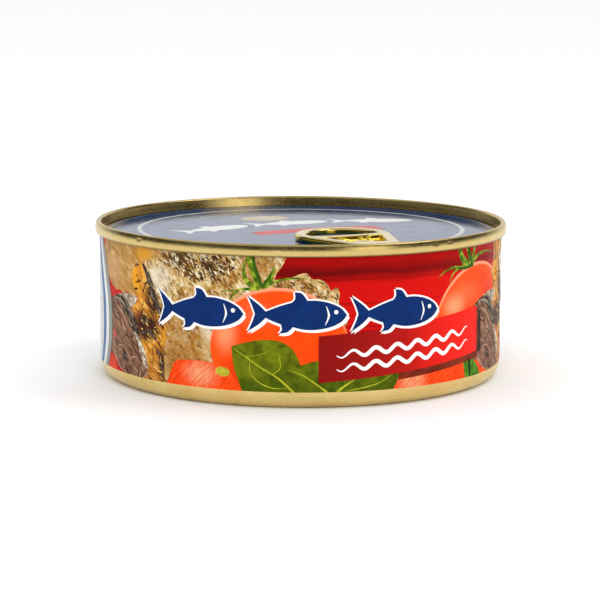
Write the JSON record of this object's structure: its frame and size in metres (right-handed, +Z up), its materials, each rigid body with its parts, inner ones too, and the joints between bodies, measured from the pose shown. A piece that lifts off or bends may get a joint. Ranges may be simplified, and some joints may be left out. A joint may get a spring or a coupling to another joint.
{
  "type": "sardine tin",
  "caption": "Round shut fish tin with a drawn body, a double-seamed easy-open lid in a shallow recess and a ring pull held by a rivet.",
  "frame": {"origin": "on the tin's axis, at the level that its foot ring stands on", "axes": "+Z up out of the lid, -Y towards the front of the printed picture, +X to the right of it"},
  "size_m": [0.1023, 0.1022, 0.0384],
  "materials": {
    "lacquered_body": "satin gold lacquer with a printed picture round the wall",
    "printed_lid": "glossy dark blue panel, gold lacquered seam",
    "tab_metal": "bright gold lacquered steel"
  },
  "bodies": {
    "root": {"can_body": "lacquered_body", "lid": "printed_lid", "pull_tab": "tab_metal"}
  },
  "joints": []
}
